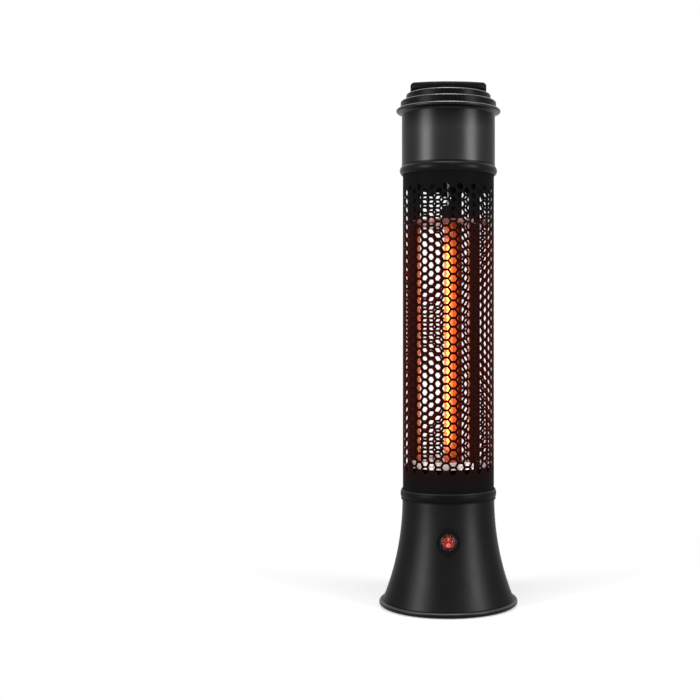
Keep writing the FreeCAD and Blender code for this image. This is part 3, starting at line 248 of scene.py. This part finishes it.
def make_heat_zone_group():
    """1 beside the hot length of the tube, falling to 0 towards its two ends."""
    tree, given, filled = shader_group(
        "heat zone",
        [("Cold End", "NodeSocketFloat", GLOW_FROM), ("Hot From", "NodeSocketFloat", GLOW_FULL)],
        [("Mask", "NodeSocketFloat")])
    low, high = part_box("quartz_tube")
    hot_middle = (low[2] + high[2]) / 2 - HOT_DROP
    half_length = (high[2] - low[2]) / 2
    offset = number_step(tree, "SUBTRACT", upright_part(tree, surface(tree, "Object")), hot_middle)
    inward = number_step(tree, "SUBTRACT", half_length, number_step(tree, "ABSOLUTE", offset))
    tree.links.new(ramp(tree, inward, given["Cold End"], given["Hot From"]), filled["Mask"])
    return tree


def make_slope_group():
    """Masks by a face's own slope: level faces, and the rounded upper edges between level and upright."""
    tree, _, filled = shader_group(
        "face slope", [], [("Level", "NodeSocketFloat"), ("Edge", "NodeSocketFloat")])
    upward = upright_part(tree, surface(tree, "Normal"))
    edge = number_step(tree, "SUBTRACT", ramp(tree, upward, *EDGE_STARTS), ramp(tree, upward, *EDGE_ENDS))
    level = ramp(tree, number_step(tree, "ABSOLUTE", upward), *LEVEL_STARTS)
    tree.links.new(level, filled["Level"])
    tree.links.new(edge, filled["Edge"])
    return tree


def make_heat_side_group():
    """1 on faces that look at the heating tube's axis, 0 on faces turned away from it."""
    tree, given, filled = shader_group(
        "heat side",
        [("From", "NodeSocketFloat", 0.1), ("To", "NodeSocketFloat", 0.6)],
        [("Mask", "NodeSocketFloat")])
    low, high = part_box("quartz_tube")
    tube_axis = ((low[0] + high[0]) / 2, (low[1] + high[1]) / 2, 0)
    outward = vector_step(tree, "SUBTRACT", surface(tree, "Object"), tube_axis)
    level_inward = vector_step(tree, "MULTIPLY", outward, (-1, -1, 0))
    inward = vector_step(tree, "NORMALIZE", level_inward)
    facing = vector_step(tree, "DOT_PRODUCT", inward, surface(tree, "Normal"), result="Value")
    tree.links.new(ramp(tree, facing, given["From"], given["To"]), filled["Mask"])
    return tree


FINISH = make_finish_group()
BRUSHED = make_brushed_group()
HEAT_ZONE = make_heat_zone_group()
SLOPE = make_slope_group()
HEAT_SIDE = make_heat_side_group()


# Material helpers

def new_material(name):
    material = bpy.data.materials.new(name)
    material.use_nodes = True
    return material, material.node_tree, material.node_tree.nodes["Principled BSDF"]


def set_inputs(node, **values):
    """Plain values for a node's inputs, with underscores for the spaces in their names."""
    for name, value in values.items():
        node.inputs[name.replace("_", " ")].default_value = value


def add_group(tree, group, **values):
    """Place a node group with its own values, and give its outputs."""
    placed = tree.nodes.new("ShaderNodeGroup")
    placed.node_tree = group
    set_inputs(placed, **values)
    return placed.outputs


def lay_on(tree, shader, color, roughness):
    tree.links.new(color, shader.inputs["Base Color"])
    tree.links.new(roughness, shader.inputs["Roughness"])


def add_bump(tree, shader, height, strength, depth):
    bump = tree.nodes.new("ShaderNodeBump")
    set_inputs(bump, Strength=strength, Distance=depth)
    tree.links.new(height, bump.inputs["Height"])
    tree.links.new(bump.outputs["Normal"], shader.inputs["Normal"])


def grey(level):
    return (level, level, level, 1)


def tones(low, high):
    return {"Low_Color": low, "High_Color": high}


def shades(color, depth=0.7):
    """A darker and a full shade of one colour, for an uneven finish."""
    return tones(tuple(depth * part for part in color[:3]) + (1,), color)


def gloss_between(low, high):
    return {"Low_Roughness": low, "High_Roughness": high}


# Colours of the black coat between its upper edges of painted highlight
BLACK_COAT = tones(grey(0.001), grey(0.003))


# Materials

def coated(name, low, high, roughness, patch=40.0, grain=1500.0, bump=0.1, specular=0.5, metallic=0.0,
           edge=1.0):
    """Paint, plastic, rubber or ceramic: uneven colour and gloss over a fine grain.

    The edge is the share of glancing light that a metallic coat keeps.
    """
    material, tree, shader = new_material(name)
    finish = add_group(tree, FINISH, Patch_Scale=patch, Grain_Scale=grain, **tones(low, high),
                       **gloss_between(*roughness))
    lay_on(tree, shader, finish["Color"], finish["Roughness"])
    set_inputs(shader, Specular_IOR_Level=specular, Metallic=metallic, Specular_Tint=grey(edge))
    add_bump(tree, shader, finish["Height"], bump, GRAIN_DEPTH)
    return material


def coat_with_painted_brim_shade(name, sheen, dull, roughness, edge):
    """Dark metallic coat with painted shade under the brim: it loses its sheen towards the brim above it.

    The edge is the share of glancing light that it keeps.
    """
    material, tree, shader = new_material(name)
    bright = add_group(tree, FINISH, **shades(grey(sheen), 0.9), **gloss_between(*roughness))
    dark = add_group(tree, FINISH, **shades(grey(dull), 0.9))
    flange_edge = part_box("cap_flange")[0][2]
    shade = ramp(tree, upright_part(tree, surface(tree, "Object")), flange_edge - BRIM_SHADE_BELOW,
                 flange_edge + BRIM_SHADE_ABOVE)
    lay_on(tree, shader, blend(tree, shade, bright["Color"], dark["Color"]), bright["Roughness"])
    set_inputs(shader, Metallic=1.0, Specular_Tint=grey(edge))
    add_bump(tree, shader, bright["Height"], 0.1, GRAIN_DEPTH)
    return material


def coat_with_painted_edge_highlight(name, metal, roughness, specular):
    """Black coat with a painted highlight: bright metal along its rounded upper edges."""
    material, tree, shader = new_material(name)
    finish = add_group(tree, FINISH, **BLACK_COAT, **gloss_between(*roughness))
    edge_highlight = add_group(tree, FINISH, Patch_Scale=EDGE_HIGHLIGHT_PATCHES, **shades(grey(metal)))
    edge = add_group(tree, SLOPE)["Edge"]
    lay_on(tree, shader, blend(tree, edge, finish["Color"], edge_highlight["Color"]), finish["Roughness"])
    tree.links.new(edge, shader.inputs["Metallic"])
    set_inputs(shader, Specular_IOR_Level=specular)
    add_bump(tree, shader, finish["Height"], 0.08, GRAIN_DEPTH)
    return material


def enamel_with_painted_tube_light(name, cold, lining, painted_glow, painted_lit_side, span, roughness, specular):
    """Black enamel with painted light of the hot tube: a red glow beside its hot length, and a lit orange
    side on faces that look at it.

    The lining is the inner side beyond the tube's hot length, and the span gives the facing cosines
    between which the inner side sets in.
    """
    material, tree, shader = new_material(name)
    finish = add_group(tree, FINISH, **shades(cold), **gloss_between(*roughness))
    inside = add_group(tree, FINISH, **shades(lining))
    painted_glow_finish = add_group(tree, FINISH, **shades(painted_glow))
    painted_lit_finish = add_group(tree, FINISH, Patch_Scale=PAINTED_LIT_PATCHES, **shades(painted_lit_side))
    zone = add_group(tree, HEAT_ZONE, Cold_End=PAINTED_GLOW_FROM, Hot_From=PAINTED_GLOW_FULL)["Mask"]
    side = add_group(tree, HEAT_SIDE, From=span[0], To=span[1])["Mask"]
    turned_away = blend(tree, zone, finish["Color"], painted_glow_finish["Color"])
    turned_inward = blend(tree, zone, inside["Color"], painted_lit_finish["Color"])
    lay_on(tree, shader, blend(tree, side, turned_away, turned_inward), finish["Roughness"])
    set_inputs(shader, Specular_IOR_Level=specular)
    add_bump(tree, shader, finish["Height"], 0.1, GRAIN_DEPTH)
    return material


def polished(name, low, high, roughness, bump=0.03):
    """Bare metal with fine lines round the axis."""
    material, tree, shader = new_material(name)
    finish = add_group(tree, FINISH, **tones(low, high))
    brushed = add_group(tree, BRUSHED, **gloss_between(*roughness))
    lay_on(tree, shader, finish["Color"], brushed["Roughness"])
    set_inputs(shader, Metallic=1.0)
    add_bump(tree, shader, brushed["Height"], bump, LINE_DEPTH)
    return material


def pan_mirror(name, face_color, rim_color, glance_tint):
    """Polished face towards the tube and a duller rim, each in its own colour; the glance_tint colours light
    that glances off.
    """
    material, tree, shader = new_material(name)
    brushed = add_group(tree, BRUSHED, **gloss_between(0.06, 0.14))
    face = add_group(tree, FINISH, Patch_Scale=PAN_PATCHES, **shades(face_color))
    rim = add_group(tree, FINISH, Patch_Scale=PAN_PATCHES, **shades(rim_color), **gloss_between(0.5, 0.6))
    level = add_group(tree, SLOPE)["Level"]
    lay_on(tree, shader, blend(tree, level, rim["Color"], face["Color"]),
           blend(tree, level, rim["Roughness"], brushed["Roughness"], kind="FLOAT"))
    set_inputs(shader, Metallic=1.0, Specular_Tint=glance_tint)
    add_bump(tree, shader, brushed["Height"], 0.1, LINE_DEPTH)
    return material


def hot_quartz():
    """Tube lit through by its wire, dimmer towards its ends."""
    material, tree, shader = new_material("hot quartz")
    zone = add_group(tree, HEAT_ZONE)["Mask"]
    glow = blend(tree, zone, (0.33, 0.044, 0.0075, 1), (1.0, 0.2, 0.037, 1))
    finish = add_group(tree, FINISH, **tones((0.02, 0.012, 0.008, 1), (0.03, 0.02, 0.012, 1)),
                       **gloss_between(0.08, 0.2))
    lay_on(tree, shader, finish["Color"], finish["Roughness"])
    tree.links.new(glow, shader.inputs["Emission Color"])
    set_inputs(shader, Emission_Strength=QUARTZ_GLOW, Alpha=QUARTZ_COVER)
    return material


def hot_wire():
    """Glowing wire, almost dark at its ends."""
    material, tree, shader = new_material("hot wire")
    zone = add_group(tree, HEAT_ZONE)["Mask"]
    glow = blend(tree, zone, (0.025, 0.004, 0.0004, 1), (1.0, 0.2, 0.024, 1))
    finish = add_group(tree, FINISH, **tones((0.2, 0.08, 0.03, 1), (0.3, 0.14, 0.06, 1)))
    lay_on(tree, shader, finish["Color"], finish["Roughness"])
    tree.links.new(glow, shader.inputs["Emission Color"])
    set_inputs(shader, Emission_Strength=WIRE_GLOW)
    return material


def lit_lens(name, low, high, light, strength):
    """Coloured plastic with a lamp behind it."""
    material, tree, shader = new_material(name)
    finish = add_group(tree, FINISH, Patch_Scale=LENS_PATCHES, **tones(low, high), **gloss_between(0.2, 0.3))
    glow = add_group(tree, FINISH, Patch_Scale=LENS_GLOW_PATCHES, **shades(light, 0.6))
    lay_on(tree, shader, finish["Color"], finish["Roughness"])
    tree.links.new(glow["Color"], shader.inputs["Emission Color"])
    set_inputs(shader, Emission_Strength=strength, Specular_IOR_Level=LENS_SHINE)
    return material


def clear_boot():
    """Thin clear plastic."""
    material, tree, shader = new_material("clear boot")
    finish = add_group(tree, FINISH, Patch_Scale=BOOT_PATCHES, **tones(grey(0.9), grey(1.0)),
                       **gloss_between(0.04, 0.12))
    lay_on(tree, shader, finish["Color"], finish["Roughness"])
    set_inputs(shader, Transmission_Weight=1.0, IOR=BOOT_BENDING)
    return material


# Finishes of the solids

def paint(material, *names):
    for name in names:
        mesh = nodes[name].data
        mesh.materials.clear()
        mesh.materials.append(material)


def paint_black_coats():
    # The top housing's coat carries painted shade, darker and without sheen towards the cap's brim
    paint(coat_with_painted_brim_shade("satin black coat", sheen=0.027, dull=0.004, roughness=(0.3, 0.36), edge=0.7),
          "top_housing")
    # The flange, cap, collars and plate carry a painted highlight of bright metal along their rounded upper
    # edges
    paint(coat_with_painted_edge_highlight("satin coat with painted edge highlight", metal=0.22, roughness=(0.3, 0.36), specular=0.15), "cap_flange")
    paint(coat_with_painted_edge_highlight("black coat with painted edge highlight", metal=0.22, roughness=(0.3, 0.4), specular=0.06),
          "cap_drum", "cap_crown", "finger_cup")
    paint(coat_with_painted_edge_highlight("collar coat", metal=0.02, roughness=(0.3, 0.4), specular=0.08), "upper_collar")
    paint(coat_with_painted_edge_highlight("dull collar coat", metal=0.05, roughness=(0.4, 0.5), specular=0.05), "lower_collar")
    paint(coated("textured black coat", grey(0.01), grey(0.013), (0.34, 0.4), grain=900.0, bump=0.2,
                 metallic=1.0, edge=0.62),
          "base_shell")
    paint(coat_with_painted_edge_highlight("plate coat", metal=0.07, roughness=(0.34, 0.4), specular=0.08), "base_plate")


def paint_enamels():
    black = grey(0.005)
    dull = (0.035, 0.03, 0.032, 1)
    # Guard and posts carry painted light of the tube: a red glow near its hot length and a lit side on faces
    # that look at it; on the rear post that side is a painted reflection of the tube
    paint(enamel_with_painted_tube_light("guard enamel", cold=black, lining=dull, painted_glow=(0.016, 0.002, 0.001, 1),
                      painted_lit_side=(0.11, 0.018, 0.011, 1), span=(-0.3, 0.1), roughness=(0.5, 0.6), specular=0.01),
          "guard")
    paint(enamel_with_painted_tube_light("side post enamel", cold=black, lining=black, painted_glow=(0.032, 0.007, 0.005, 1),
                      painted_lit_side=(0.78, 0.26, 0.1, 1), span=(-0.2, 0.3), roughness=(0.4, 0.5), specular=0.05),
          "post_left", "post_right")
    paint(enamel_with_painted_tube_light("rear post enamel", cold=black, lining=black, painted_glow=(0.09, 0.008, 0.003, 1),
                      painted_lit_side=(0.95, 0.22, 0.045, 1), span=(0.75, 0.9), roughness=(0.4, 0.5), specular=0.05),
          "post_rear")
    paint(coated("sleeve enamel", grey(0.002), grey(0.004), (0.45, 0.55), specular=0.05),
          "lower_sleeves", "upper_sleeves")


def paint_rubber_plastic_and_ceramic():
    paint(coated("black rubber", grey(0.01), grey(0.02), (0.6, 0.75), grain=700.0, bump=0.3),
          "rubber_feet", "deck_grommets")
    paint(coated("gasket rubber", grey(0.001), grey(0.003), (0.5, 0.6), specular=0.05), "switch_gasket")
    paint(coated("black moulding", grey(0.006), grey(0.012), (0.35, 0.45), grain=1100.0, bump=0.2,
                 specular=0.3),
          "switch_housing", "cord_gland", "gland_nut", "tip_switch_body", "thermal_cutout")
    paint(coated("dark moulding", grey(0.0015), grey(0.003), (0.3, 0.4), grain=1100.0, specular=0.06),
          "carry_handle", "boot_ring")
    paint(coated("white moulding", (0.72, 0.7, 0.65, 1), (0.8, 0.78, 0.74, 1), (0.35, 0.5)),
          "terminal_block", "tip_plunger")
    paint(coated("dark ceramic", (0.012, 0.01, 0.01, 1), (0.02, 0.018, 0.017, 1), (0.6, 0.75), grain=1200.0,
                 bump=0.25, specular=0.1),
          "lower_end_cap", "upper_end_cap")
    paint(coated("lead sleeve", grey(0.5), (0.62, 0.62, 0.6, 1), (0.6, 0.75), grain=2200.0, bump=0.4),
          "upper_lead", "return_lead", "lower_lead", "switch_feed_lead", "switch_tip_lead")
    paint(clear_boot(), "splash_boot")


def paint_metals():
    # The pans' pinkish red, also at glancing angles, is a painted reflection of the tube's orange glow; the
    # upper pan's darker rim is painted shade
    paint(pan_mirror("bright pan", (0.8, 0.52, 0.48, 1), (0.95, 0.8, 0.76, 1), (0.95, 0.8, 0.78, 1)),
          "lower_reflector")
    paint(pan_mirror("pan with painted glow reflection", (0.5, 0.25, 0.22, 1), (0.3, 0.15, 0.13, 1), (0.78, 0.48, 0.46, 1)),
          "upper_reflector")
    paint(coated("blackened steel", grey(0.006), grey(0.012), (0.4, 0.5), specular=0.15),
          "lower_tube_strap", "upper_tube_strap", "strap_rivets")
    paint(polished("zinc plate", grey(0.5), (0.6, 0.6, 0.58, 1), (0.28, 0.42), bump=0.1),
          "base_screws", "base_nuts", "inner_screws", "lower_deck", "upper_deck", "tie_rods", "rod_nuts",
          "cutout_screws", "cap_screws", "handle_screws", "tip_spring", "element_pins")
    paint(polished("brass", (0.6, 0.44, 0.18, 1), (0.7, 0.54, 0.26, 1), (0.25, 0.4)),
          "switch_terminals", "terminal_screws")


def paint_lit_pieces():
    paint(hot_quartz(), "quartz_tube")
    paint(hot_wire(), "heating_coil", "coil_core")
    paint(lit_lens("red lens", (0.16, 0.009, 0.005, 1), (0.24, 0.013, 0.008, 1), (0.9, 0.05, 0.03, 1), 0.05),
          "rocker")


# Trim of the switch: a bar and a ring on the rocker, and two flat rings round it, one of them painted shade

def place_object(name, data):
    made = bpy.data.objects.new(name, data)
    bpy.context.scene.collection.objects.link(made)
    return made


def mesh_object(name, points, faces, material):
    mesh = bpy.data.meshes.new(name)
    mesh.from_pydata(points, [], faces)
    mesh.update()
    mesh.materials.append(material)
    return place_object(name, mesh)


def on_switch(points, height, tilt):
    """Points moved to a height above the switch seat, tilted about the seat's cross axis there."""
    seat = Matrix.Translation(SWITCH_SEAT) @ Matrix.Rotation(math.pi / 2 - SWITCH_TILT, 4, "X")
    matrix = seat @ Matrix.Translation((0, 0, height)) @ Matrix.Rotation(tilt, 4, "X")
    return [matrix @ Vector(point) for point in points]


def raised_ring(outer, inner, center, thickness, count):
    """Points and faces of a flat oval ring: outer and inner are half widths across and along."""
    points = []
    loops = ((outer, 0), (outer, thickness), (inner, thickness), (inner, 0))
    for half, height in loops:
        for index in range(count):
            angle = 2 * math.pi * index / count
            points.append((half[0] * math.cos(angle), center + half[1] * math.sin(angle), height))
    faces = []
    for loop in range(len(loops)):
        here = loop * count
        there = (loop + 1) % len(loops) * count
        for index in range(count):
            following = (index + 1) % count
            faces.append((here + index, here + following, there + following, there + index))
    return points, faces


def raised_bar(width, length, center, thickness):
    """Points and faces of a flat block, its corners going round the foot and then round the top."""
    corners = ((-1, -1), (1, -1), (1, 1), (-1, 1))
    points = [(x * width / 2, center + y * length / 2, z) for z in (0, thickness) for x, y in corners]
    faces = [(0, 3, 2, 1), (4, 5, 6, 7)]
    faces += [(i, (i + 1) % 4, 4 + (i + 1) % 4, 4 + i) for i in range(4)]
    return points, faces


def make_rocker_marks():
    ink = lit_lens("mark ink", (0.5, 0.15, 0.12, 1), (0.6, 0.2, 0.16, 1), (1.0, 0.3, 0.22, 1), 0.06)
    points, faces = raised_bar(BAR_WIDTH, BAR_LENGTH, BAR_OFFSET, MARK_THICKNESS)
    bar = mesh_object("rocker_bar_mark", on_switch(points, ROCKER_VALLEY, 0), faces, ink)
    points, faces = raised_ring(MARK_RING_OUTER, MARK_RING_INNER, MARK_RING_OFFSET, MARK_THICKNESS,
                                MARK_RING_STEPS)
    ring = mesh_object("rocker_ring_mark", on_switch(points, ROCKER_VALLEY, -ROCKER_THROW), faces, ink)
    for mark in (bar, ring):
        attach(mark, "rocker")


def add_flat_ring(name, outer, inner, material):
    points, faces = raised_ring((outer, outer), (inner, inner), 0, FLAT_RING_THICKNESS, FLAT_RING_STEPS)
    ring = mesh_object(name, on_switch(points, BEZEL_TOP, 0), faces, material)
    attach(ring, "heater")


def make_shade_ring_and_boot_line():
    """Dark red ring of painted shade and reflection round the rocker, in place of its shaded sloping margin,
    and the pale line at the boot's foot.
    """
    dark_red = coated("dark red painted shade", (0.05, 0.001, 0.001, 1), (0.08, 0.003, 0.003, 1), (0.4, 0.5),
                      specular=0.1)
    pale = coated("pale ring", (0.04, 0.024, 0.024, 1), (0.07, 0.045, 0.042, 1), (0.4, 0.5), specular=0.1)
    # The dark red ring is painted shade and reflection of the rocker's sloping margin
    add_flat_ring("rocker_shade_ring", SHADE_RING_OUTER, SHADE_RING_INNER, dark_red)
    add_flat_ring("boot_line", LINE_OUTER, LINE_INNER, pale)


# Stage: pale floor and surroundings, three soft lights, camera

def shown_rays(tree):
    """1 on rays that show the background: straight from the camera, or by way of gloss or glass."""
    rays = tree.nodes.new("ShaderNodeLightPath").outputs
    mirrored = number_step(tree, "MAXIMUM", rays["Is Camera Ray"], rays["Is Glossy Ray"])
    return number_step(tree, "MAXIMUM", mirrored, rays["Is Transmission Ray"])


def mix_shaders(tree, factor, low, high):
    mix = tree.nodes.new("ShaderNodeMixShader")
    for socket, part in zip(mix.inputs, (factor, low, high)):
        tree.links.new(part, socket)
    return mix.outputs[0]


def floor_material():
    """Matt floor that catches the shadow close to the heater and is shown as plain white farther off."""
    material = bpy.data.materials.new("pale floor")
    material.use_nodes = True
    tree = material.node_tree
    tree.nodes.clear()
    matt = tree.nodes.new("ShaderNodeBsdfDiffuse")
    set_inputs(matt, Color=grey(FLOOR_SHADE))
    lift = tree.nodes.new("ShaderNodeEmission")
    set_inputs(lift, Strength=FLOOR_LIFT)
    lifted = tree.nodes.new("ShaderNodeAddShader")
    tree.links.new(matt.outputs[0], lifted.inputs[0])
    tree.links.new(lift.outputs[0], lifted.inputs[1])
    white = tree.nodes.new("ShaderNodeEmission")
    distance = vector_step(tree, "LENGTH", surface(tree, "Object"), result="Value")
    far = ramp(tree, distance, WHITE_FROM, WHITE_FULL)
    seen = mix_shaders(tree, far, lifted.outputs[0], white.outputs[0])
    whole = mix_shaders(tree, shown_rays(tree), matt.outputs[0], seen)
    tree.links.new(whole, tree.nodes.new("ShaderNodeOutputMaterial").inputs["Surface"])
    return material


def make_floor():
    corners = [(x * FLOOR_REACH, y * FLOOR_REACH, 0) for x, y in ((-1, -1), (1, -1), (1, 1), (-1, 1))]
    floor = mesh_object("floor", corners, [(0, 1, 2, 3)], floor_material())


def make_surroundings():
    """White where they are shown, and a weak even fill light otherwise."""
    world = bpy.data.worlds.new("surroundings")
    bpy.context.scene.world = world
    world.use_nodes = True
    tree = world.node_tree
    tree.nodes.clear()
    shown = tree.nodes.new("ShaderNodeBackground")
    set_inputs(shown, Color=grey(1.0))
    fill = tree.nodes.new("ShaderNodeBackground")
    set_inputs(fill, Color=grey(1.0), Strength=FILL_LEVEL)
    whole = mix_shaders(tree, shown_rays(tree), fill.outputs[0], shown.outputs[0])
    tree.links.new(whole, tree.nodes.new("ShaderNodeOutputWorld").inputs["Surface"])


def add_softbox(name, place, width, height, radiance):
    """Rectangular soft light of an even brightness, turned towards the heater."""
    light = bpy.data.lights.new(name, "AREA")
    light.shape = "RECTANGLE"
    light.size = width
    light.size_y = height
    light.energy = radiance * math.pi * width * height
    lamp = place_object(name, light)
    lamp.location = place
    lamp.rotation_euler = (Vector(LIGHT_AIM) - lamp.location).to_track_quat("-Z", "Y").to_euler()
    lamp.visible_camera = False


def make_lights():
    across = STRIP_DISTANCE * math.sin(STRIP_ANGLE)
    forward = STRIP_DISTANCE * math.cos(STRIP_ANGLE)
    for side, name in ((-1, "left strip"), (1, "right strip")):
        add_softbox(name, (side * across, -forward, STRIP_HEIGHT), width=0.6, height=1.2, radiance=10.5)
    add_softbox("overhead", OVERHEAD_PLACE, width=0.9, height=0.5, radiance=7.0)


def make_camera():
    camera = bpy.data.cameras.new("camera")
    camera.sensor_fit = "AUTO"
    camera.angle = 2 * math.atan(IMAGE_SIZE / 2 / DISTANCE_PIXELS)
    camera.shift_x = (IMAGE_SIZE / 2 - AXIS_PIXEL) / IMAGE_SIZE
    camera.shift_y = (EYE_PIXEL - IMAGE_SIZE / 2) / IMAGE_SIZE
    eye = place_object("camera", camera)
    eye.location = (0, -DISTANCE_PIXELS * METRES_PER_PIXEL, (FLOOR_PIXEL - EYE_PIXEL) * METRES_PER_PIXEL)
    eye.rotation_euler = (math.pi / 2, 0, 0)
    bpy.context.scene.camera = eye


paint_black_coats()
paint_enamels()
paint_rubber_plastic_and_ceramic()
paint_metals()
paint_lit_pieces()
make_rocker_marks()
make_shade_ring_and_boot_line()
make_floor()
make_surroundings()
make_lights()
make_camera()
bpy.context.scene.view_settings.view_transform = "Standard"
